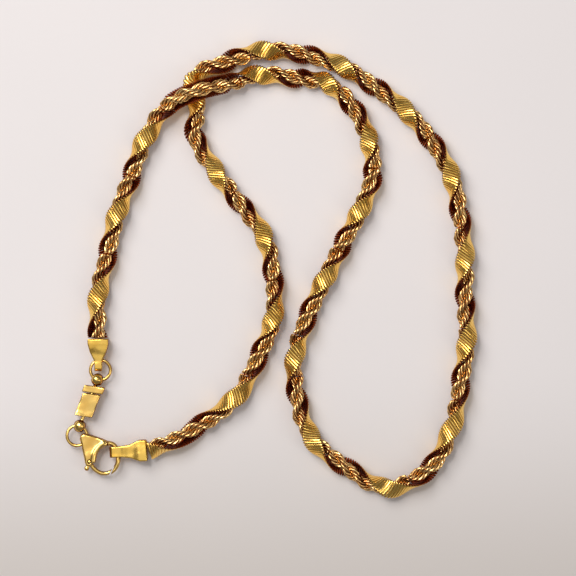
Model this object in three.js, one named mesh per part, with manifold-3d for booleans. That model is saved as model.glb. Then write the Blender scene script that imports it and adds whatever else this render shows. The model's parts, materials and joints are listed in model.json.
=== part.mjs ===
// Gold chain necklace: a flat ribbed ribbon chain twisted together with a thin rope chain,
// closed by a lobster clasp on one end and a tab on the other. Millimetres, +Z up.
// It lies in loops on a flat surface at z = 0, seen from +Z.
import * as THREE from 'three';
import { mergeVertices } from 'three/addons/utils/BufferGeometryUtils.js';
import Module from 'manifold-3d';

// ---- driving dimensions ------------------------------------------------------------------
const GAP = 0.3;
const AXIS_Z = 2.6; // height of the chain's twist axis and of every finding
const RIBBON_WIDTH = 4.7;
const RIBBON_THICKNESS = 0.65;
const RIBBON_CROWN = 1.75; // outer face's middle, above the twist axis
const RIBBON_EDGE = 1.05; // outer face's edges, above the twist axis
const ROPE_RADIUS = 1.2;
const ROPE_OFFSET = -0.45; // rope's centre, on the ribbon's concave side
const STEPS_PER_HALF_TURN = 6;

const RING_RADIUS = 2.35; // centre line of the jump rings
const RING_WIRE = 0.375;
const RING_HOLE = 0.62; // bore radius of a hole that a ring runs in
const RING_A = new THREE.Vector3(-42.9, -23.5, AXIS_Z);
const RING_B = new THREE.Vector3(-48.4, -38.9, AXIS_Z);
const BALL_RADIUS = 1.48;
const STEM_RADIUS = 0.4;
const STEM_HOLE = 0.55;
const STEM_HEAD = 0.8;

const CLASP_THICKNESS = 2.3;
const CLASP_BEVEL = 0.4;
const HOOK_WIRE = 0.55;
const GATE_WIRE = 0.5;
const PIVOT = new THREE.Vector3(-45.4, -45.0, AXIS_Z);
const PIVOT_PIN_RADIUS = 0.35;
const PIVOT_BORE = 0.47;
const LEVER_HUB = 0.95;
const LEVER_THICKNESS = 1.1;
const LEVER_SLOT = 1.4;

// The chain's centre line, one row for each half turn of the twist: x, y, z, half turns.
// An odd count has the ribbon's face up, an even count has the rope up.
const CHAIN_ROUTE = [
  [-43.5, -16.0, 2.6, 0], [-43.5, -6.1, 2.6, 1], [-41.2, 3.8, 2.6, 2], [-39.0, 13.2, 2.6, 3],
  [-35.6, 22.1, 2.6, 4], [-32.4, 30.8, 2.7, 5], [-26.5, 39.0, 4.1, 5.95], [-20.2, 41.8, 6.9, 6],
  [-13.2, 43.6, 4.3, 6.1], [-5.9, 45.9, 2.6, 7], [3.4, 45.1, 2.6, 8], [10.3, 44.0, 2.6, 9],
  [16.4, 38.3, 2.6, 10], [20.2, 30.5, 2.6, 11], [21.1, 22.3, 2.6, 12], [18.1, 13.9, 2.6, 13],
  [14.1, 6.3, 2.6, 14], [9.9, -2.1, 2.6, 15], [5.9, -10.6, 2.6, 16], [2.8, -20.4, 2.6, 17],
  [3.3, -29.6, 2.6, 18], [6.8, -39.5, 2.6, 19], [14.8, -46.3, 2.6, 20], [24.7, -51.2, 2.6, 21],
  [34.5, -46.5, 2.6, 22], [39.7, -36.9, 2.6, 23], [41.8, -26.3, 2.6, 24], [43.2, -16.7, 2.6, 25],
  [42.8, -6.6, 2.6, 26], [42.8, 2.8, 2.6, 27], [41.6, 13.2, 2.6, 28], [39.5, 22.3, 2.6, 29],
  [34.8, 30.5, 2.6, 30], [28.7, 37.6, 2.6, 31], [21.4, 43.2, 2.6, 32], [13.9, 47.9, 2.6, 33],
  [5.2, 50.7, 2.6, 34], [-4.2, 51.6, 2.6, 35], [-12.9, 49.1, 2.6, 36], [-21.1, 44.9, 2.4, 36.9],
  [-20.0, 39.0, 2.35, 37.15], [-20.7, 31.7, 2.6, 38], [-15.7, 23.0, 2.6, 39], [-10.1, 15.7, 2.6, 40],
  [-4.5, 8.0, 2.6, 41], [-2.3, -1.4, 2.6, 42], [-2.3, -11.3, 2.6, 43], [-5.6, -20.0, 2.6, 44],
  [-11.0, -29.8, 2.6, 45], [-20.2, -36.9, 2.6, 46], [-26.6, -40.6, 2.6, 46.4], [-31.6, -42.2, 2.6, 46.9],
];

// Where the chain is divided, as positions in CHAIN_ROUTE's rows.
const CHAIN_BREAKS = [
  0, 2, 4, 5.8, 8.4, 11.4, 13.8, 16.2, 18.5, 19.5, 21.5, 23.5, 25.6, 27.3, 29.7, 32.1, 34.6,
  37.4, 40.3, 42.7, 45.1, 47.5, 51,
];

// ---- materials ---------------------------------------------------------------------------
const GOLD = { color: 0xd9a531, roughness: 0.24, metalness: 1.0 };
const ROPE_GOLD = { color: 0xc98a3a, roughness: 0.28, metalness: 1.0 };
const PLATE_GOLD = { color: 0xdcae4a, roughness: 0.2, metalness: 1.0 };

const necklace = new THREE.Group();

function addMesh(name, geometry, look) {
  const mesh = new THREE.Mesh(geometry, new THREE.MeshStandardMaterial(look));
  mesh.name = name;
  necklace.add(mesh);
  return mesh;
}

// ---- solids ------------------------------------------------------------------------------
const wasm = await Module();
wasm.setup();

function toSolid(geometry) {
  const bare = geometry.clone();
  bare.deleteAttribute('normal');
  bare.deleteAttribute('uv');
  const merged = mergeVertices(bare, 1e-4);
  return new wasm.Manifold(new wasm.Mesh({
    numProp: 3,
    vertProperties: new Float32Array(merged.attributes.position.array),
    triVerts: new Uint32Array(merged.index.array),
  }));
}

function toGeometry(solid) {
  const mesh = solid.getMesh();
  const geometry = new THREE.BufferGeometry();
  geometry.setAttribute('position', new THREE.BufferAttribute(new Float32Array(mesh.vertProperties), 3));
  geometry.setIndex(new THREE.BufferAttribute(new Uint32Array(mesh.triVerts), 1));
  geometry.computeVertexNormals();
  return geometry;
}

function outline(points) {
  return new THREE.Shape(points.map(([x, y]) => new THREE.Vector2(x, y)));
}

function circleShape(x, y, radius, sides) {
  const points = [];
  for (let i = 0; i < sides; i += 1) {
    const angle = (2 * Math.PI * (i + 0.5)) / sides;
    points.push([x + radius * Math.cos(angle), y + radius * Math.sin(angle)]);
  }
  return outline(points);
}

function slab(shape, zLow, zHigh) {
  const geometry = new THREE.ExtrudeGeometry(shape, { depth: zHigh - zLow, bevelEnabled: false });
  return geometry.translate(0, 0, zLow);
}

function wire(points, radius, sides, steps) {
  return new THREE.ExtrudeGeometry(circleShape(0, 0, radius, sides), {
    steps,
    bevelEnabled: false,
    extrudePath: new THREE.CatmullRomCurve3(points),
  });
}

function ringHole(centre) {
  const hole = new THREE.TorusGeometry(RING_RADIUS, RING_HOLE, 12, 36);
  return toSolid(hole.translate(centre.x, centre.y, centre.z));
}

// ---- twisted chain -----------------------------------------------------------------------
const lastRow = CHAIN_ROUTE.length - 1;
const centreLine = new THREE.CatmullRomCurve3(
  CHAIN_ROUTE.map(([x, y, z]) => new THREE.Vector3(x, y, z)), false, 'centripetal',
);

function halfTurnsAt(row) {
  const i = Math.min(Math.floor(row), lastRow - 1);
  const t = row - i;
  return CHAIN_ROUTE[i][3] * (1 - t) + CHAIN_ROUTE[i + 1][3] * t;
}

function chainFrame(row) {
  const point = centreLine.getPoint(row / lastRow);
  const ahead = centreLine.getPoint(Math.min(row + 0.02, lastRow) / lastRow);
  const behind = centreLine.getPoint(Math.max(row - 0.02, 0) / lastRow);
  const tangent = ahead.sub(behind).normalize();
  const side = new THREE.Vector3().crossVectors(tangent, new THREE.Vector3(0, 0, 1)).normalize();
  const up = new THREE.Vector3().crossVectors(side, tangent);
  const turn = Math.PI * (halfTurnsAt(row) - 1);
  const faceDirection = up.clone().multiplyScalar(Math.cos(turn)).addScaledVector(side, Math.sin(turn));
  const widthDirection = new THREE.Vector3().crossVectors(faceDirection, tangent);
  return { point, faceDirection, widthDirection };
}

function rowAfter(row, distance) {
  const stride = Math.sign(distance) * 0.01;
  let travelled = 0;
  let current = row;
  let last = centreLine.getPoint(current / lastRow);
  while (travelled < Math.abs(distance)) {
    current += stride;
    const next = centreLine.getPoint(current / lastRow);
    travelled += next.distanceTo(last);
    last = next;
  }
  return current;
}

function sweepAlongChain(shape, rowStart, rowEnd) {
  const steps = Math.ceil((rowEnd - rowStart) * STEPS_PER_HALF_TURN);
  const geometry = new THREE.ExtrudeGeometry(shape, { depth: 1, steps, bevelEnabled: false });
  const position = geometry.attributes.position;
  for (let i = 0; i < position.count; i += 1) {
    const row = rowStart + (rowEnd - rowStart) * position.getZ(i);
    const { point, faceDirection, widthDirection } = chainFrame(row);
    point.addScaledVector(widthDirection, position.getX(i));
    point.addScaledVector(faceDirection, position.getY(i));
    position.setXYZ(i, point.x, point.y, point.z);
  }
  geometry.computeVertexNormals();
  return geometry;
}

const halfWidth = RIBBON_WIDTH / 2;
const shoulder = RIBBON_EDGE + 0.75 * (RIBBON_CROWN - RIBBON_EDGE);
const ribbonShape = outline([
  [-halfWidth, RIBBON_EDGE - RIBBON_THICKNESS * 0.5],
  [0, RIBBON_CROWN - RIBBON_THICKNESS],
  [halfWidth, RIBBON_EDGE - RIBBON_THICKNESS * 0.5],
  [halfWidth, RIBBON_EDGE],
  [halfWidth / 2, shoulder],
  [0, RIBBON_CROWN],
  [-halfWidth / 2, shoulder],
  [-halfWidth, RIBBON_EDGE],
]);
const ropeShape = circleShape(0, ROPE_OFFSET, ROPE_RADIUS, 8);

for (let i = 0; i + 1 < CHAIN_BREAKS.length; i += 1) {
  const rowStart = rowAfter(CHAIN_BREAKS[i], GAP / 2);
  const rowEnd = rowAfter(CHAIN_BREAKS[i + 1], -GAP / 2);
  const number = String(i + 1).padStart(2, '0');
  addMesh(`ribbon_${number}`, sweepAlongChain(ribbonShape, rowStart, rowEnd), GOLD);
  addMesh(`rope_${number}`, sweepAlongChain(ropeShape, rowStart, rowEnd), ROPE_GOLD);
}

// ---- end caps ----------------------------------------------------------------------------
// Each cap is drawn pointing along +X: x = 0 at the mouth, the folded tab at x = length.
function endCap({
  length, mouthHalf, middleHalf, tabHalf, tabRise, shoulderEnd, neckStart, slotStart,
}) {
  const rise = 1.75;
  const sheet = 0.3;
  const middle = (shoulderEnd + neckStart) / 2;
  const plan = outline([
    [0, -mouthHalf], [shoulderEnd, -mouthHalf], [middle, -middleHalf], [neckStart, -tabHalf],
    [length, -tabHalf], [length, tabHalf], [neckStart, tabHalf], [middle, middleHalf],
    [shoulderEnd, mouthHalf], [0, mouthHalf],
  ]);
  const side = outline([
    [0, -rise], [shoulderEnd, -rise], [neckStart, -tabRise], [length - 0.5, -tabRise],
    [length, -tabRise + 0.5], [length, tabRise - 0.5], [length - 0.5, tabRise],
    [neckStart, tabRise], [shoulderEnd, rise], [0, rise],
  ]);
  const fold = tabRise - sheet;
  const slot = outline([
    [slotStart, -fold], [length - 0.55, -fold], [length - sheet, -fold + 0.25],
    [length - sheet, fold - 0.25], [length - 0.55, fold], [slotStart, fold],
  ]);
  const standUp = (geometry) => geometry.rotateX(Math.PI / 2);
  const recess = new THREE.BoxGeometry(1.2, 2 * mouthHalf - 0.7, 2 * rise - 0.7).translate(0.1, 0, 0);
  return toSolid(slab(plan, -2, 2))
    .intersect(toSolid(standUp(slab(side, -3, 3))))
    .subtract(toSolid(standUp(slab(slot, -3, 3))))
    .subtract(toSolid(recess));
}

const capA = endCap({
  length: 7.5,
  mouthHalf: 2.4,
  middleHalf: 1.85,
  tabHalf: 0.85,
  tabRise: 1.05,
  shoulderEnd: 1.1,
  neckStart: 5.2,
  slotStart: 4.4,
});
const capAMesh = addMesh('end_cap_a', toGeometry(capA), PLATE_GOLD);
capAMesh.position.set(-43.4, -16.2, AXIS_Z);
capAMesh.rotation.z = -Math.PI / 2;

const capB = endCap({
  length: 8.7,
  mouthHalf: 2.45,
  middleHalf: 1.5,
  tabHalf: 1.25,
  tabRise: 1.1,
  shoulderEnd: 1.7,
  neckStart: 6.2,
  slotStart: 5.9,
});
const capBMesh = addMesh('end_cap_b', toGeometry(capB), PLATE_GOLD);
capBMesh.position.set(-32.0, -42.3, AXIS_Z);
capBMesh.rotation.z = Math.PI + 0.06;

// ---- jump rings --------------------------------------------------------------------------
for (const [name, centre] of [['jump_ring_a', RING_A], ['jump_ring_b', RING_B]]) {
  const ring = addMesh(name, new THREE.TorusGeometry(RING_RADIUS, RING_WIRE, 10, 32), GOLD);
  ring.position.copy(centre);
}

// ---- swivel link between the rings -------------------------------------------------------
const ballA = RING_A.clone().add(new THREE.Vector3(-0.3, -0.954, 0).setLength(RING_RADIUS));
const ballB = RING_B.clone().add(new THREE.Vector3(0.27, 0.963, 0).setLength(RING_RADIUS));
const linkDirection = ballB.clone().sub(ballA).normalize();
const linkLength = ballB.distanceTo(ballA);
const barStart = 1.7;
const barEnd = 3.3;
const boxStart = barEnd + GAP;
const boxEnd = linkLength - 2.5;

// Everything on the link is drawn along +Y, away from ball A, and then turned into place.
const linkTurn = Math.atan2(linkDirection.y, linkDirection.x) - Math.PI / 2;

function onLink(geometry) {
  return geometry.rotateZ(linkTurn).translate(ballA.x, ballA.y, ballA.z);
}

function ballAndStem(stemLength) {
  const profile = [new THREE.Vector2(0, -BALL_RADIUS)];
  for (let i = 1; i < 7; i += 1) {
    const angle = -Math.PI / 2 + (i * Math.PI) / 8;
    profile.push(new THREE.Vector2(BALL_RADIUS * Math.cos(angle), BALL_RADIUS * Math.sin(angle)));
  }
  const neckY = Math.sqrt(BALL_RADIUS ** 2 - STEM_RADIUS ** 2);
  profile.push(new THREE.Vector2(STEM_RADIUS, neckY));
  profile.push(new THREE.Vector2(STEM_RADIUS, stemLength - 0.5));
  profile.push(new THREE.Vector2(STEM_HEAD, stemLength - 0.4));
  profile.push(new THREE.Vector2(STEM_HEAD, stemLength));
  profile.push(new THREE.Vector2(0, stemLength));
  return new THREE.LatheGeometry(profile, 20);
}

const swivelA = toSolid(onLink(ballAndStem(boxStart + 0.8))).subtract(ringHole(RING_A));
addMesh('swivel_ball_a', toGeometry(swivelA), GOLD);
const swivelBShape = ballAndStem(linkLength - boxEnd + 1.4)
  .rotateZ(Math.PI)
  .translate(0, linkLength, 0);
const swivelB = toSolid(onLink(swivelBShape)).subtract(ringHole(RING_B));
addMesh('swivel_ball_b', toGeometry(swivelB), GOLD);

const stemBore = new THREE.CylinderGeometry(STEM_HOLE, STEM_HOLE, 3 * linkLength, 16);
const barBlock = new THREE.BoxGeometry(4.7, barEnd - barStart, 2.3)
  .translate(0, (barStart + barEnd) / 2, 0);
// The bar and the box are cut slantwise, so their ends aren't square to the stems.
const slant = new THREE.Matrix4().makeShear(0.22, 0, 0, 0, 0, 0);
const bar = toSolid(barBlock.applyMatrix4(slant)).subtract(toSolid(stemBore));
addMesh('link_bar', onLink(toGeometry(bar)), PLATE_GOLD);

const boxOuter = new THREE.BoxGeometry(4.0, boxEnd - boxStart, 2.5)
  .translate(0, (boxStart + boxEnd) / 2, 0);
const boxInner = new THREE.BoxGeometry(3.2, boxEnd - boxStart, 1.8)
  .translate(0, (boxStart + boxEnd) / 2 - 0.4, 0);
const box = toSolid(boxOuter.applyMatrix4(slant))
  .subtract(toSolid(boxInner.applyMatrix4(slant)))
  .subtract(toSolid(stemBore));
addMesh('link_box', onLink(toGeometry(box)), PLATE_GOLD);

// ---- lobster clasp -----------------------------------------------------------------------
const claspShape = outline([
  [-47.5, -38.8], [-47.7, -39.7], [-47.3, -41.0], [-47.0, -42.5], [-46.7, -44.0], [-46.5, -45.2],
  [-46.2, -46.0], [-45.5, -46.2], [-44.8, -45.8], [-44.4, -44.8], [-44.3, -43.3], [-43.6, -42.1],
  [-42.5, -41.4],
  [-41.2, -41.3], [-41.1, -40.2], [-42.2, -39.7], [-44.5, -38.9], [-46.6, -38.3],
]);
const claspBlank = new THREE.ExtrudeGeometry(claspShape, {
  depth: CLASP_THICKNESS - 2 * CLASP_BEVEL,
  bevelThickness: CLASP_BEVEL,
  bevelSize: CLASP_BEVEL,
  bevelOffset: -CLASP_BEVEL,
  bevelSegments: 2,
}).translate(0, 0, AXIS_Z - CLASP_THICKNESS / 2 + CLASP_BEVEL);

// One closed hook outline: the fixed jaw first, then the gate from its tip back to the pivot.
const hookLine = new THREE.CatmullRomCurve3([
  [-41.9, -40.7], [-40.6, -40.7], [-39.7, -41.1], [-39.1, -42.0], [-38.8, -43.2], [-38.7, -44.4],
  [-39.0, -45.8], [-39.8, -47.0], [-41.2, -47.7], [-42.7, -47.7], [-44.0, -47.0], [-44.9, -46.0],
  [-45.3, -45.1],
].map(([x, y]) => new THREE.Vector3(x, y, AXIS_Z)));
const HOOK_SEAM = 0.615;

function hookPoints(from, to, count) {
  const points = [];
  for (let i = 0; i <= count; i += 1) {
    points.push(hookLine.getPointAt(from + ((to - from) * i) / count));
  }
  return points;
}

// The seam is square to the line from the pivot, so that the gate's tip swings past the jaw's.
const seamLine = hookLine.getPointAt(HOOK_SEAM).sub(PIVOT);
const seamOverlap = 0.05;

function seamBlock(nearFace) {
  const block = new THREE.BoxGeometry(3, 3, 4).translate(nearFace + 1.5, 0, 0);
  return toSolid(block.rotateZ(Math.atan2(seamLine.y, seamLine.x)).translate(PIVOT.x, PIVOT.y, PIVOT.z));
}

const jaw = toSolid(wire(hookPoints(0, HOOK_SEAM + seamOverlap, 12), HOOK_WIRE, 10, 18))
  .subtract(seamBlock(seamLine.length() + GAP - 3));
// A rounded rim stands up along the inner edge and carries the jaw's curve back to the pivot.
const rimLine = new THREE.CatmullRomCurve3([
  [-41.9, -40.6], [-42.6, -41.0], [-43.5, -41.8], [-44.3, -43.2], [-44.7, -45.2],
].map(([x, y]) => new THREE.Vector3(x, y, AXIS_Z + 0.7)));
const rim = toSolid(wire(rimLine.getSpacedPoints(10), 0.72, 10, 14));
const leverSlot = new THREE.BoxGeometry(5, 4, LEVER_SLOT).translate(-46.5, -45.7, AXIS_Z);
const pivotBore = new THREE.CylinderGeometry(PIVOT_BORE, PIVOT_BORE, 8, 16)
  .rotateX(Math.PI / 2)
  .translate(PIVOT.x, PIVOT.y, PIVOT.z);
const claspBody = toSolid(claspBlank)
  .add(jaw)
  .add(rim)
  .subtract(toSolid(leverSlot))
  .subtract(toSolid(pivotBore))
  .subtract(ringHole(RING_B));
addMesh('clasp_body', toGeometry(claspBody), GOLD);

const leverHub = slab(
  circleShape(PIVOT.x, PIVOT.y, LEVER_HUB, 20),
  AXIS_Z - LEVER_THICKNESS / 2,
  AXIS_Z + LEVER_THICKNESS / 2,
);
const leverTail = slab(
  outline([[-46.1, -45.2], [-46.4, -46.5], [-45.7, -46.7], [-45.0, -45.6]]),
  AXIS_Z - 0.45,
  AXIS_Z + 0.45,
);
const leverKnob = new THREE.SphereGeometry(0.6, 12, 8).translate(-46.1, -46.6, AXIS_Z);
const lever = toSolid(wire(hookPoints(HOOK_SEAM - seamOverlap, 1, 12), GATE_WIRE, 10, 14))
  .subtract(seamBlock(seamLine.length()))
  .add(toSolid(leverHub))
  .add(toSolid(leverTail))
  .add(toSolid(leverKnob))
  .subtract(toSolid(pivotBore));
addMesh('clasp_lever', toGeometry(lever), GOLD);

const pin = new THREE.CylinderGeometry(PIVOT_PIN_RADIUS, PIVOT_PIN_RADIUS, CLASP_THICKNESS + 0.1, 16)
  .rotateX(Math.PI / 2);
addMesh('clasp_pivot_pin', pin, GOLD).position.copy(PIVOT);

// The origin is the middle of the footprint, on the surface that the chain lies on.
const footprint = new THREE.Box3().setFromObject(necklace, true);
const middle = footprint.getCenter(new THREE.Vector3());
necklace.position.set(-middle.x, -middle.y, -footprint.min.z);

export default necklace;
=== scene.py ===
# %% [markdown]
# # A twisted gold chain necklace
#
# The real necklace is two chains made into one. A flat chain of narrow ribs, bent a little
# hollow, is twisted right-handed, and a thin rope chain lies in its hollow side and turns with
# it. Folded end caps hold both chains at each end. One cap hangs on a jump ring, a swivel link
# and a second ring join it to a lobster clasp, and the clasp hooks into the other cap.
#
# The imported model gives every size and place. This script loads it as a fixed frame and
# builds the fine surface of each piece in its place, in metres.

# %% Load the frame
import json
import math

import bmesh
import bpy
import numpy as np
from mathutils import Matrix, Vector


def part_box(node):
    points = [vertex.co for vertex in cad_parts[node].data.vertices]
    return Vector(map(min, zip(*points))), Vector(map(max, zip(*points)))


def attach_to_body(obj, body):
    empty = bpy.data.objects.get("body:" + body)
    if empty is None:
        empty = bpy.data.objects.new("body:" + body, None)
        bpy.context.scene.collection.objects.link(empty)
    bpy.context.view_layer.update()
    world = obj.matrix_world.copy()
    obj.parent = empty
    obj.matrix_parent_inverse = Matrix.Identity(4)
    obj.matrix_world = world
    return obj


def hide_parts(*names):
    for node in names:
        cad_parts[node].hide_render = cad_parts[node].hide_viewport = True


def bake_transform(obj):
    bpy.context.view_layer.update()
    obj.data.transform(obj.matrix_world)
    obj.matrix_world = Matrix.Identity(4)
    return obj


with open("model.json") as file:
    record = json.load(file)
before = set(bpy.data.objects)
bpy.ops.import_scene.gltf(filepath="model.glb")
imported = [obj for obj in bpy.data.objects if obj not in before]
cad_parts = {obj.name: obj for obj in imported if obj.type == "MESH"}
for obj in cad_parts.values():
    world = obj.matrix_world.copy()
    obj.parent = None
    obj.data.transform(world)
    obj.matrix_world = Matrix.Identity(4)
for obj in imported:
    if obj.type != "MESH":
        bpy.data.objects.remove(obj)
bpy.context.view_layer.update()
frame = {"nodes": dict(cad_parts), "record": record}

MM = 0.001

# %% [markdown]
# ## Where the frame's origin is
#
# The chain's route below is written in the maker's own drawing, where the end caps and the
# clasp sit at round numbers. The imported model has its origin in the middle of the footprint.
# One jump ring is a plain circle, so the middle of its box ties the two together.

# %% Drawing to frame
RING_A = np.array([-42.9, -23.5, 2.6])
RING_B = np.array([-48.4, -38.9, 2.6])


def middle_of(node):
    low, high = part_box(node)
    return np.array([(a + b) / 2 for a, b in zip(low, high)])


DRAWING_ORIGIN = middle_of("jump_ring_a") - RING_A * MM
DRAWING_ORIGIN[2] = middle_of("clasp_pivot_pin")[2] - RING_A[2] * MM


def place(points_mm):
    """Points of the drawing, in millimetres, as points of the frame, in metres."""
    return np.asarray(points_mm, float) * MM + DRAWING_ORIGIN


print("drawing origin in mm:", np.round(DRAWING_ORIGIN / MM, 3))

# %% [markdown]
# ## The camera
#
# Jewellery is usually shown from straight above. A long lens keeps the raised crossing from
# looking larger than the rest.

# %% Camera
VIEW_WIDTH = 135.4 * MM
VIEW_MIDDLE = place([1.2, -4.2, 2.6])
CAMERA_HEIGHT = 0.62

camera_data = bpy.data.cameras.new("top_camera")
camera_data.lens = camera_data.sensor_width * CAMERA_HEIGHT / VIEW_WIDTH
camera_data.clip_start = 0.01
camera = bpy.data.objects.new("top_camera", camera_data)
camera.location = (VIEW_MIDDLE[0], VIEW_MIDDLE[1], VIEW_MIDDLE[2] + CAMERA_HEIGHT)
bpy.context.scene.collection.objects.link(camera)
bpy.context.scene.camera = camera
print("lens in mm:", round(camera_data.lens, 1))

# %% [markdown]
# ## Small helpers
#
# A piece is one mesh made from arrays of points and faces. Each piece hides its CAD node, and most ride on
# the body that the node rides on.

# %% Body of each node
BODIES = frame["record"]["behaviour"]["bodies"]
BODY_OF = {node: body for body, nodes in BODIES.items() for node in nodes}


def new_piece(name, points, faces, material, smooth=True):
    mesh = bpy.data.meshes.new(name)
    mesh.from_pydata(np.asarray(points).tolist(), [], [list(corners) for corners in faces])
    mesh.update()
    if smooth:
        mesh.polygons.foreach_set("use_smooth", [True] * len(mesh.polygons))
    mesh.materials.append(material)
    piece = bpy.data.objects.new(name, mesh)
    bpy.context.scene.collection.objects.link(piece)
    return piece


def grid_faces(rows, columns, closed_rows=False, closed_columns=True):
    """Quads of a grid of points, row by row, joined round where it closes."""
    r = np.arange(rows if closed_rows else rows - 1)
    c = np.arange(columns if closed_columns else columns - 1)
    r, c = np.meshgrid(r, c, indexing="ij")
    r2, c2 = (r + 1) % rows, (c + 1) % columns
    corners = [r * columns + c, r * columns + c2, r2 * columns + c2, r2 * columns + c]
    return np.stack(corners, axis=-1).reshape(-1, 4)


def repeat_faces(faces, points_each, copies):
    """The same faces again for each copy of a block of points."""
    step = np.arange(copies)[:, None, None] * points_each
    return (faces[None] + step).reshape(-1, faces.shape[1])


print("nodes on bodies:", len(BODY_OF))

# %% [markdown]
# ## Writing shader maths as Python
#
# A material's nodes are easier to read as sums and products. `Value` wraps one output socket,
# and each operator adds the Math node that does it. Colours go through `mix`, because a Math
# node would turn them grey.

# %% Shader maths
class Value:
    """One socket in a material, with Python's operators."""

    def __init__(self, tree, socket):
        self.tree, self.socket = tree, socket

    def _math(self, operation, first, second):
        return self.tree.node("ShaderNodeMath", {"operation": operation}, {0: first, 1: second})

    def __add__(self, other):
        return self._math("ADD", self, other)

    def __radd__(self, other):
        return self._math("ADD", other, self)

    def __sub__(self, other):
        return self._math("SUBTRACT", self, other)

    def __rsub__(self, other):
        return self._math("SUBTRACT", other, self)

    def __mul__(self, other):
        return self._math("MULTIPLY", self, other)

    def __rmul__(self, other):
        return self._math("MULTIPLY", other, self)


class Finish:
    """A material whose nodes come from one method."""

    def __init__(self, name):
        self.material = bpy.data.materials.new(name)
        self.material.use_nodes = True
        self.nodes = self.material.node_tree.nodes
        self.links = self.material.node_tree.links
        self.shader = self.nodes["Principled BSDF"]

    def node(self, kind, settings=None, sockets=None, output=0):
        made = self.nodes.new(kind)
        for name, value in (settings or {}).items():
            if name == "stops":
                self._stops(made.color_ramp, value)
            else:
                setattr(made, name, value)
        for key, value in (sockets or {}).items():
            self.put(made.inputs[key], value)
        return Value(self, made.outputs[output])

    def _stops(self, ramp, stops):
        while len(ramp.elements) < len(stops):
            ramp.elements.new(0.5)
        for element, (position, colour) in zip(ramp.elements, stops):
            element.position = position
            element.color = (*colour, 1.0)

    def put(self, socket, value):
        if isinstance(value, Value):
            self.links.new(value.socket, socket)
        elif isinstance(value, tuple) and len(value) == 3 and socket.type == "RGBA":
            socket.default_value = (*value, 1.0)
        else:
            socket.default_value = value

    def mix(self, factor, first, second):
        settings = {"data_type": "RGBA", "clamp_factor": True}
        made = self.nodes.new("ShaderNodeMix")
        for name, value in settings.items():
            setattr(made, name, value)
        colours = [s for s in made.inputs if s.type == "RGBA"]
        self.put(made.inputs["Factor"], factor)
        self.put(colours[0], first)
        self.put(colours[1], second)
        return Value(self, [s for s in made.outputs if s.type == "RGBA"][0])

    def noise(self, scale, detail=2.0, roughness=0.5, stretch=None):
        where = self.node("ShaderNodeTexCoord", output=3)
        if stretch:
            where = self.node("ShaderNodeMapping", {}, {"Vector": where, "Scale": stretch})
        sockets = {"Vector": where, "Scale": scale, "Detail": detail, "Roughness": roughness}
        return self.node("ShaderNodeTexNoise", {}, sockets)

    def ramp(self, value, low, high):
        """0 below low, 1 above high and a soft step between."""
        settings = {"interpolation_type": "SMOOTHSTEP"}
        sockets = {"Value": value, "From Min": low, "From Max": high}
        return self.node("ShaderNodeMapRange", settings, sockets)

    def attribute(self, name):
        return self.node("ShaderNodeAttribute", {"attribute_name": name}, output=2)

    def set(self, **sockets):
        for name, value in sockets.items():
            self.put(self.shader.inputs[name.replace("_", " ")], value)
        return self.material

    def bump(self, height, strength, distance):
        sockets = {"Height": height, "Strength": strength, "Distance": distance}
        return self.node("ShaderNodeBump", {}, sockets)


print("shader helper ready")

# %% [markdown]
# ## Gold
#
# Worn gold is never one colour: a large noise mixes each finish between a pale and a deeper orange tone.
# Shade is painted into the colour as well. Each chain mesh carries a point attribute of painted shade, from
# 0 on an outer face to 1 in a groove or on the inside. Where it is high, the gold turns toward a dark
# red-brown shade colour and gets rougher, with some noise through it. The findings carry the same painted
# shade on their sides. Sheet and cast pieces are also a little wavy, which breaks up their reflections.

# %% Gold finishes
def gold(name, bright, deep, shade_colour, shine, grain_scale, dent=0.0):
    finish = Finish(name)
    hollow = finish.attribute("hollow")
    cloud = finish.noise(220.0, 3.0)
    fine = finish.noise(grain_scale, 4.0, 0.6)
    tone = finish.ramp(cloud, 0.35, 0.7)
    face = finish.mix(tone * 0.55, bright, deep)
    # Painted shade: where the painted shade attribute is high, broken by noise, the colour turns to the dark
    # shade colour and gets rougher
    shade_mix = finish.ramp(hollow + (cloud - 0.5) * 0.5, 0.25, 0.95)
    colour = finish.mix(shade_mix, face, shade_colour)
    rough = shine + shade_mix * 0.16 + finish.ramp(fine, 0.4, 0.75) * 0.1
    scratches = finish.noise(900.0, 2.0, 0.5, stretch=(1.0, 0.12, 1.0))
    dents = finish.noise(260.0, 1.0)
    height = fine * 0.5 + scratches * 0.5 + dents * dent
    return finish.set(
        Base_Color=colour,
        Metallic=1.0,
        Roughness=rough,
        Normal=finish.bump(height, 0.12, 0.00004),
    )


RIBBON_GOLD = gold(
    "ribbed_ribbon_gold", (1.0, 0.67, 0.18), (0.93, 0.51, 0.07), (0.22, 0.04, 0.012), 0.18, 1200.0)
ROPE_GOLD = gold(
    "rope_chain_gold", (1.0, 0.66, 0.26), (0.95, 0.45, 0.12), (0.20, 0.04, 0.008), 0.17, 1600.0)
FINDING_GOLD = gold(
    "polished_finding_gold", (0.98, 0.67, 0.20), (0.86, 0.45, 0.07), (0.26, 0.07, 0.015), 0.19, 900.0, 110.0)
CAP_GOLD = gold(
    "folded_cap_gold", (1.0, 0.65, 0.14), (0.87, 0.45, 0.04), (0.3, 0.1, 0.02), 0.2, 900.0, 110.0)
print("gold finishes:", RIBBON_GOLD.name, ROPE_GOLD.name, FINDING_GOLD.name, CAP_GOLD.name)
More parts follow.
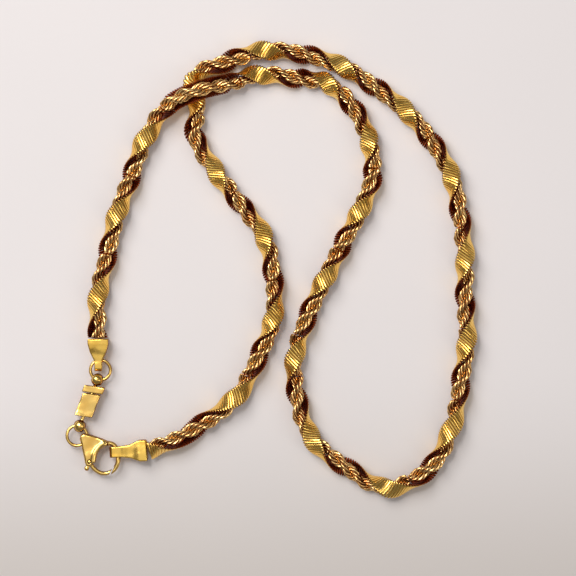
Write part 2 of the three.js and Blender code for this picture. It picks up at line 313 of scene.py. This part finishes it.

# %% [markdown]
# ## The route
#
# The necklace lies where it was dropped, so its centre line is a list of points: about one for each half
# turn of the twist, and closer together at the crossing and at the second end cap. The last number counts
# half turns. Where it is odd the ribbon's face looks up, and where it is even the rope does. A centripetal
# Catmull-Rom curve goes through the points without overshooting at the tight bends.

# %% Centre line
CHAIN_ROUTE = np.array([
    [-43.5, -16.0, 2.6, 0], [-43.5, -6.1, 2.6, 1], [-41.2, 3.8, 2.6, 2], [-39.0, 13.2, 2.6, 3],
    [-35.6, 22.1, 2.6, 4], [-32.4, 30.8, 2.7, 5], [-26.5, 39.0, 4.1, 5.95], [-20.2, 41.8, 6.9, 6],
    [-13.2, 43.6, 4.3, 6.1], [-5.9, 45.9, 2.6, 7], [3.4, 45.1, 2.6, 8], [10.3, 44.0, 2.6, 9],
    [16.4, 38.3, 2.6, 10], [20.2, 30.5, 2.6, 11], [21.1, 22.3, 2.6, 12], [18.1, 13.9, 2.6, 13],
    [14.1, 6.3, 2.6, 14], [9.9, -2.1, 2.6, 15], [5.9, -10.6, 2.6, 16], [2.8, -20.4, 2.6, 17],
    [3.3, -29.6, 2.6, 18], [6.8, -39.5, 2.6, 19], [14.8, -46.3, 2.6, 20], [24.7, -51.2, 2.6, 21],
    [34.5, -46.5, 2.6, 22], [39.7, -36.9, 2.6, 23], [41.8, -26.3, 2.6, 24],
    [43.2, -16.7, 2.6, 25], [42.8, -6.6, 2.6, 26], [42.8, 2.8, 2.6, 27], [41.6, 13.2, 2.6, 28],
    [39.5, 22.3, 2.6, 29], [34.8, 30.5, 2.6, 30], [28.7, 37.6, 2.6, 31], [21.4, 43.2, 2.6, 32],
    [13.9, 47.9, 2.6, 33], [5.2, 50.7, 2.6, 34], [-4.2, 51.6, 2.6, 35], [-12.9, 49.1, 2.6, 36],
    [-21.1, 44.9, 2.4, 36.9], [-20.0, 39.0, 2.35, 37.15], [-20.7, 31.7, 2.6, 38],
    [-15.7, 23.0, 2.6, 39], [-10.1, 15.7, 2.6, 40], [-4.5, 8.0, 2.6, 41], [-2.3, -1.4, 2.6, 42],
    [-2.3, -11.3, 2.6, 43], [-5.6, -20.0, 2.6, 44], [-11.0, -29.8, 2.6, 45],
    [-20.2, -36.9, 2.6, 46], [-26.6, -40.6, 2.6, 46.4], [-31.6, -42.2, 2.6, 46.9],
])
CHAIN_BREAKS = [
    0, 2, 4, 5.8, 8.4, 11.4, 13.8, 16.2, 18.5, 19.5, 21.5, 23.5, 25.6, 27.3, 29.7, 32.1, 34.6,
    37.4, 40.3, 42.7, 45.1, 47.5, 51,
]
LAST_ROW = len(CHAIN_ROUTE) - 1


def centre_line(rows):
    """Points of the centripetal curve at places counted in rows of CHAIN_ROUTE."""
    knots = CHAIN_ROUTE[:, :3]
    knots = np.vstack([2 * knots[0] - knots[1], knots, 2 * knots[-1] - knots[-2]])
    first = np.clip(np.floor(rows).astype(int), 0, LAST_ROW - 1)
    t = (rows - first)[:, None]
    a, b, c, d = (knots[first + i] for i in range(4))
    ab, bc, cd = (np.sqrt(np.linalg.norm(q - p, axis=1))[:, None] for p, q in ((a, b), (b, c), (c, d)))
    slope_b = bc * ((b - a) / ab - (c - a) / (ab + bc) + (c - b) / bc)
    slope_c = bc * ((c - b) / bc - (d - b) / (bc + cd) + (d - c) / cd)
    square = -3 * b + 3 * c - 2 * slope_b - slope_c
    cube = 2 * b - 2 * c + slope_b + slope_c
    return b + slope_b * t + square * t**2 + cube * t**3


FINE_ROWS = np.linspace(0, LAST_ROW, 100 * LAST_ROW + 1)
FINE_POINTS = centre_line(FINE_ROWS)
FINE_LENGTHS = np.concatenate(
    [[0], np.cumsum(np.linalg.norm(np.diff(FINE_POINTS, axis=0), axis=1))])
HALF_TURNS = np.interp(FINE_ROWS, np.arange(LAST_ROW + 1), CHAIN_ROUTE[:, 3])


def frame_directions():
    """The tangent and the ribbon's face and width directions along the fine centre line."""
    tangent = np.gradient(FINE_POINTS, axis=0)
    tangent /= np.linalg.norm(tangent, axis=1)[:, None]
    side = np.cross(tangent, [0, 0, 1])
    side /= np.linalg.norm(side, axis=1)[:, None]
    up = np.cross(side, tangent)
    turn = np.pi * (HALF_TURNS - 1)
    face = up * np.cos(turn)[:, None] + side * np.sin(turn)[:, None]
    return tangent, face, np.cross(face, tangent)


TANGENT, FACE, WIDTH = frame_directions()


def along(table, lengths):
    """A row of table for each length along the chain, in millimetres."""
    return np.stack([np.interp(lengths, FINE_LENGTHS, table[:, i]) for i in range(3)], axis=-1)


def length_at(row):
    return float(np.interp(row, FINE_ROWS, FINE_LENGTHS))


print("chain length in mm:", round(FINE_LENGTHS[-1], 1))

# %% [markdown]
# ## Ribs of the flat chain
#
# The flat chain is a row of narrow cross links, each a short bar with rounded ends, bent a
# little hollow so that the rope lies in it. A modifier array can't follow a twist this
# exactly, so one function lays every bar with the route's own directions. A bar is a grid:
# stations across the width, and a small round section at each.

# %% Rib shape
RIB_PITCH = 0.56
RIB_LENGTH = 0.54
RIBBON_HALF_WIDTH = 2.35
RIBBON_CROWN = 1.75
RIBBON_EDGE = 1.05
RIBBON_THICKNESS = 0.62
STATIONS = np.array([-1, -0.985, -0.94, -0.8, -0.5, 0.0, 0.5, 0.8, 0.94, 0.985, 1])
SECTION_SIDES = 12
SQUARENESS = 0.6
END_ROUND = 0.16
END_THINNEST = 0.04
# Painted shade of the ribs: darker in the grooves between ribs, toward the ribbon's edges and on its inside
# face
GROOVE_START = 0.75
GROOVE_SHADE = 0.45
EDGE_START, EDGE_FADE, EDGE_SHADE = 0.75, 0.2, 0.5
INSIDE_SHADE, INSIDE_FADE = 0.35, 0.9
RIB_SLANT = 0.5
STRAIGHT_END = 6.0
CHAIN_END_ROOM = 0.1


def rib_block(start, end):
    """Distance along the chain, x and y of every point of every rib between two lengths."""
    count = max(1, round((end - start) / RIB_PITCH))
    pitch = (end - start) / count
    middles = start + pitch * (np.arange(count) + 0.5)
    angle = 2 * np.pi * (np.arange(SECTION_SIDES) + 0.5) / SECTION_SIDES
    across = STATIONS[:, None]
    past_flat = np.clip((np.abs(across) - (1 - END_ROUND)) / END_ROUND, 0, 1)
    end_shape = np.sqrt(np.clip(1 - past_flat**2, END_THINNEST, 1))
    squared = np.sign(np.cos(angle)) * np.abs(np.cos(angle)) ** SQUARENESS
    lifted = np.sign(np.sin(angle)) * np.abs(np.sin(angle)) ** SQUARENESS
    travel = 0.5 * RIB_LENGTH * squared[None] * end_shape
    rise = RIBBON_CROWN - (RIBBON_CROWN - RIBBON_EDGE) * across**2
    y = rise - RIBBON_THICKNESS / 2 + 0.5 * RIBBON_THICKNESS * lifted[None] * end_shape
    x = np.broadcast_to(across * RIBBON_HALF_WIDTH, y.shape)
    # Painted shade: inside face, grooves and edges summed into one shade value
    inside = np.clip(INSIDE_SHADE - INSIDE_FADE * lifted, 0, 1)[None]
    groove = GROOVE_SHADE * np.clip((np.abs(squared)[None] - GROOVE_START) / (1 - GROOVE_START), 0, 1)
    edge = EDGE_SHADE * np.clip((np.abs(across) - EDGE_START) / EDGE_FADE, 0, 1)
    hollow = inside + groove + edge
    to_chain_end = np.minimum(middles, FINE_LENGTHS[-1] - middles)[:, None, None]
    slant = RIB_SLANT * np.clip(to_chain_end / STRAIGHT_END, 0, 1)
    s = middles[:, None, None] + travel[None] + slant * RIBBON_HALF_WIDTH * across[None]
    s = np.clip(s, CHAIN_END_ROOM, FINE_LENGTHS[-1] - CHAIN_END_ROOM)
    blocks = [np.broadcast_to(v, s.shape).ravel() for v in (x, y, hollow)]
    return s.ravel(), *blocks, count


def add_painted_shade(piece, values):
    layer = piece.data.attributes.new("hollow", "FLOAT", "POINT")
    layer.data.foreach_set("value", np.clip(values, 0, 1).astype(np.float32))


def ribbon_piece(name, start, end):
    s, x, y, hollow, count = rib_block(start, end)
    points = along(FINE_POINTS, s) + along(WIDTH, s) * x[:, None] + along(FACE, s) * y[:, None]
    rings = len(STATIONS)
    sides = grid_faces(rings, SECTION_SIDES)
    faces = repeat_faces(sides, rings * SECTION_SIDES, count).tolist()
    first = np.arange(SECTION_SIDES)
    for k in range(count):
        base = k * rings * SECTION_SIDES
        faces.append((first[::-1] + base).tolist())
        faces.append((first + base + (rings - 1) * SECTION_SIDES).tolist())
    piece = new_piece(name, place(points), faces, RIBBON_GOLD)
    add_painted_shade(piece, hollow)
    return piece


print("points in a rib:", len(STATIONS) * SECTION_SIDES)

# %% [markdown]
# ## Strands of the rope chain
#
# A rope chain is two strands laid round each other, and each strand looks like wires running
# slantwise round it. So each strand is one tube along a helix, and a cosine ridges it: the tube
# is full where a wire passes and thinner between two wires. The wires' slant is counted
# against the ribbon's own twist, so it stays the same where the twist is fast or slow. These
# are ridges and not separate links.

# %% Rope shape
ROPE_OFFSET = -0.62
STRAND_OFFSET = 0.66
STRAND_RADIUS = 0.97
STRAND_PITCH = 9.0
WIRE_COUNT = 6
WIRE_LAY = 3.1
WIRE_DEPTH = 0.38
WIRE_SHARPNESS = 1.5
STRAND_END = 0.35
GAP_SHADE, GAP_FADE = 1.25, 1.5
STRAND_SIDES = 48
STRAND_STEP = 0.09


def rope_piece(name, start, end):
    """Two strands, each a bundle of wires that run slantwise round it."""
    count = max(8, round((end - start) / STRAND_STEP))
    s = np.linspace(start, end, count)
    around = 2 * np.pi * np.arange(STRAND_SIDES) / STRAND_SIDES
    tangent, face, width = along(TANGENT, s), along(FACE, s), along(WIDTH, s)
    axis = along(FINE_POINTS, s) + face * ROPE_OFFSET
    twist = np.pi * np.interp(s, FINE_LENGTHS, HALF_TURNS)
    to_end = np.clip(1 - np.minimum(s - start, end - s) / STRAND_END, 0, 1)
    closing = np.sqrt(np.clip(1 - to_end**2, 0.01, 1))
    points, hollow = [], []
    for strand in (0, 1):
        turn = 2 * np.pi * s / STRAND_PITCH - twist + strand * np.pi
        outward = width * np.cos(turn)[:, None] + face * np.sin(turn)[:, None]
        phase = WIRE_COUNT * (around[None] + twist[:, None]) / 2 + 2 * np.pi * s[:, None] / WIRE_LAY
        ridge = np.abs(np.cos(phase)) ** WIRE_SHARPNESS
        radius = (STRAND_RADIUS - WIRE_DEPTH + WIRE_DEPTH * ridge) * closing[:, None]
        reach = width[:, None] * np.cos(around)[None, :, None]
        reach = reach + face[:, None] * np.sin(around)[None, :, None]
        middle = axis + outward * STRAND_OFFSET
        points.append((middle[:, None] + reach * radius[..., None]).reshape(-1, 3))
        # Painted shade in the gaps between the wires
        hollow.append(np.clip(GAP_SHADE - GAP_FADE * ridge, 0, 1).ravel())
    faces = grid_faces(count, STRAND_SIDES)
    faces = repeat_faces(faces, count * STRAND_SIDES, 2)
    piece = new_piece(name, place(np.vstack(points)), faces, ROPE_GOLD)
    add_painted_shade(piece, np.concatenate(hollow))
    return piece


print("wires round a strand:", WIRE_COUNT)

# %% [markdown]
# ## Laying the chain
#
# Each length of ribbon and of rope stands for one CAD node. A length that ends where a lifted run meets the
# part that stays down rides on no body and stays where it lies; every other length rides on its node's body.

# %% Chain lengths
RUN_ENDS = {"left_run": (1, 3), "inner_right_run": (6, 8), "bottom_loop": (10, 12),
            "outer_right_run": (14, 16), "inner_left_run": (19, 22)}


def attach(piece, number):
    node = piece.name.replace("_links", "")
    body = BODY_OF[node]
    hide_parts(node)
    first, last = RUN_ENDS.get(body, (0, 0))
    if number == first:
        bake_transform(piece)
    elif number == last:
        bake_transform(piece)
    else:
        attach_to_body(piece, body)


chain_points = 0
for number in range(1, len(CHAIN_BREAKS)):
    start, end = length_at(CHAIN_BREAKS[number - 1]), length_at(CHAIN_BREAKS[number])
    ribbon = ribbon_piece(f"ribbon_{number:02d}_links", start, end)
    attach(ribbon, number)
    rope = rope_piece(f"rope_{number:02d}_links", start, end)
    attach(rope, number)
    chain_points += len(ribbon.data.vertices) + len(rope.data.vertices)
print("points in both chains:", chain_points)

# %% [markdown]
# ## Findings
#
# The findings are cast or folded, so their edges are soft. Each starts from its CAD node's
# own mesh. A fine voxel remesh and a little smoothing round an edge the way polishing does,
# and a small swell makes up for what the smoothing takes off. The clasp's body and gate have
# almost no swell, because they work close together. The pivot pin only needs a bevel.

# %% Cast and folded findings
LIP_LENGTH = 1.5
LIP_RISE = 0.4
UNSHADED_UPRIGHT = 0.8
SIDE_FADE = 0.45


def finish_of(node):
    return CAP_GOLD if node.startswith("end_cap") else FINDING_GOLD


def copy_of(node):
    source = frame["nodes"][node]
    piece = bpy.data.objects.new(f"{node}_finish", source.data.copy())
    bpy.context.scene.collection.objects.link(piece)
    return piece


def apply_modifiers(piece, material):
    bpy.context.view_layer.update()
    graph = bpy.context.evaluated_depsgraph_get()
    made = bpy.data.meshes.new_from_object(piece.evaluated_get(graph))
    piece.modifiers.clear()
    piece.data = made
    made.materials.clear()
    made.materials.append(material)
    made.polygons.foreach_set("use_smooth", [True] * len(made.polygons))


def weld(piece):
    shape = bmesh.new()
    shape.from_mesh(piece.data)
    bmesh.ops.remove_doubles(shape, verts=shape.verts, dist=0.002 * MM)
    shape.to_mesh(piece.data)
    shape.free()


def cast_finding(node, voxel, smoothing, swell):
    piece = copy_of(node)
    weld(piece)
    remesh = piece.modifiers.new("skin", "REMESH")
    remesh.mode = "VOXEL"
    remesh.voxel_size = voxel * MM
    smooth = piece.modifiers.new("polish", "SMOOTH")
    smooth.iterations = smoothing
    smooth.factor = 0.5
    fill = piece.modifiers.new("fill", "DISPLACE")
    fill.strength = swell * MM
    fill.mid_level = 0.0
    apply_modifiers(piece, finish_of(node))
    finish_finding(piece, node)
    return piece


def bevelled_finding(node, edge):
    piece = copy_of(node)
    weld(piece)
    bevel = piece.modifiers.new("edge", "BEVEL")
    bevel.width = edge * MM
    bevel.segments = 3
    bevel.limit_method = "ANGLE"
    bevel.angle_limit = math.radians(28)
    bevel.harden_normals = True
    apply_modifiers(piece, finish_of(node))
    finish_finding(piece, node)
    return piece


def curl_up_end(piece):
    """Lift the lower end of the link box's face into a small lip."""
    centre = middle_of("link_box")
    along_link = centre - middle_of("link_bar")
    along_link /= np.linalg.norm(along_link)
    points = np.array([v.co for v in piece.data.vertices])
    reach = (points - centre) @ along_link
    start = reach.max() - LIP_LENGTH * MM
    rise = np.clip((reach - start) / (reach.max() - start), 0, 1) ** 2
    upper = np.clip((points[:, 2] - centre[2]) / (points[:, 2].max() - centre[2]), 0, 1)
    points[:, 2] += LIP_RISE * MM * rise * upper
    piece.data.vertices.foreach_set("co", points.ravel())
    piece.data.update()


def paint_side_shade(piece):
    """Paint shade on the sides: the steeper a face, the more painted shade it gets."""
    normals = np.empty(3 * len(piece.data.vertices))
    piece.data.vertex_normals.foreach_get("vector", normals)
    upright = np.abs(normals.reshape(-1, 3)[:, 2])
    add_painted_shade(piece, (UNSHADED_UPRIGHT - upright) / SIDE_FADE)


def finish_finding(piece, node):
    # Painted shade on the steep sides of every finding
    paint_side_shade(piece)
    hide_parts(node)
    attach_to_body(piece, BODY_OF[node])


for node, smoothing, swell in (("clasp_body", 50, 0.03), ("clasp_lever", 6, 0.0),
                               ("swivel_ball_a", 40, 0.05), ("swivel_ball_b", 40, 0.05)):
    made = cast_finding(node, 0.07, smoothing, swell)
    print(node, len(made.data.vertices))
for node in ("end_cap_a", "end_cap_b", "link_bar", "link_box"):
    made = cast_finding(node, 0.08, 24, 0.04)
    print(node, len(made.data.vertices))
    if node == "link_box":
        curl_up_end(made)
pin = bevelled_finding("clasp_pivot_pin", 0.12)
print(pin.name, len(pin.data.vertices))

# %% [markdown]
# ## Jump rings
#
# A jump ring is a bent wire, so it is a circle swept by a smaller circle, fine enough that
# the highlight runs round it without steps.

# %% Jump rings
RING_RADIUS, RING_WIRE = 2.35, 0.375
RING_STEPS, WIRE_SIDES = 96, 16


def ring_points(middle):
    around = 2 * np.pi * np.arange(RING_STEPS) / RING_STEPS
    small = 2 * np.pi * np.arange(WIRE_SIDES) / WIRE_SIDES
    reach = RING_RADIUS + RING_WIRE * np.cos(small)
    x = middle[0] + np.cos(around)[:, None] * reach[None]
    y = middle[1] + np.sin(around)[:, None] * reach[None]
    z = middle[2] + RING_WIRE * np.sin(small)[None] + 0 * x
    return np.stack([x, y, z], axis=-1).reshape(-1, 3)


for node, middle in (("jump_ring_a", RING_A), ("jump_ring_b", RING_B)):
    faces = grid_faces(RING_STEPS, WIRE_SIDES, closed_rows=True)
    ring = new_piece(f"{node}_wire", place(ring_points(middle)), faces, FINDING_GOLD)
    finish_finding(ring, node)
    print(ring.name, len(ring.data.vertices))

# %% [markdown]
# ## Surface, light and air
#
# A sheet of pale paper under soft daylight, with a painted shadow that darkens it toward the bottom. The
# metal shows what is round it, so there are four panels: a broad one above and to the left that gives the
# soft shadow, a wide dim ceiling, a small bright window that makes the crisp highlights, and a weak fill
# from the right. A darker room beyond them gives the hollows their depth.

# %% Paper
paper = Finish("pale_paper")
grain = paper.noise(700.0, 3.0)
drift = paper.noise(9.0, 2.0)
tone = paper.mix(paper.ramp(drift, 0.3, 0.7), (0.90, 0.855, 0.84), (0.87, 0.83, 0.815))
place_on_sheet = paper.node("ShaderNodeTexCoord", output=3)
down_sheet = paper.node("ShaderNodeSeparateXYZ", {}, {0: place_on_sheet}, output=1)
# Painted shadow: the paper darkens toward the bottom of the sheet
tone = paper.mix(paper.ramp(down_sheet * -1.0, 0.02, 0.085) * 0.85, tone, (0.64, 0.59, 0.54))
paper_material = paper.set(
    Base_Color=tone,
    Roughness=0.75 + grain * 0.1,
    Normal=paper.bump(grain, 0.05, 0.0002),
)
SHEET_HALF = 0.6
corners = [(x * SHEET_HALF, y * SHEET_HALF, 0) for x, y in ((-1, -1), (1, -1), (1, 1), (-1, 1))]
floor = new_piece("paper_floor", corners, [(0, 1, 2, 3)], paper_material)
print("floor:", floor.name)


# %% Lights
def panel(name, location, size, power, colour):
    light = bpy.data.lights.new(name, "AREA")
    light.shape = "RECTANGLE"
    light.size, light.size_y = size
    light.energy = power
    light.color = colour
    lamp = bpy.data.objects.new(name, light)
    lamp.location = location
    aim = Vector((0, 0, 0)) - Vector(location)
    lamp.rotation_euler = aim.to_track_quat("-Z", "Y").to_euler()
    bpy.context.scene.collection.objects.link(lamp)
    return lamp


panel("sky_panel", (-0.30, 0.28, 0.55), (0.4, 0.4), 2.6, (1.0, 0.98, 0.985))
panel("ceiling_panel", (0.0, 0.0, 0.95), (0.9, 0.9), 1.5, (1.0, 0.98, 0.985))
panel("window_panel", (-0.18, 0.20, 0.72), (0.12, 0.12), 0.9, (1.0, 0.98, 0.985))
panel("fill_panel", (0.50, -0.20, 0.50), (0.2, 0.4), 0.5, (1.0, 0.97, 0.95))
world = bpy.data.worlds.new("room")
world.use_nodes = True
world.node_tree.nodes["Background"].inputs[0].default_value = (1.0, 0.97, 0.95, 1.0)
world.node_tree.nodes["Background"].inputs[1].default_value = 0.17
bpy.context.scene.world = world
bpy.context.scene.view_settings.view_transform = "Standard"
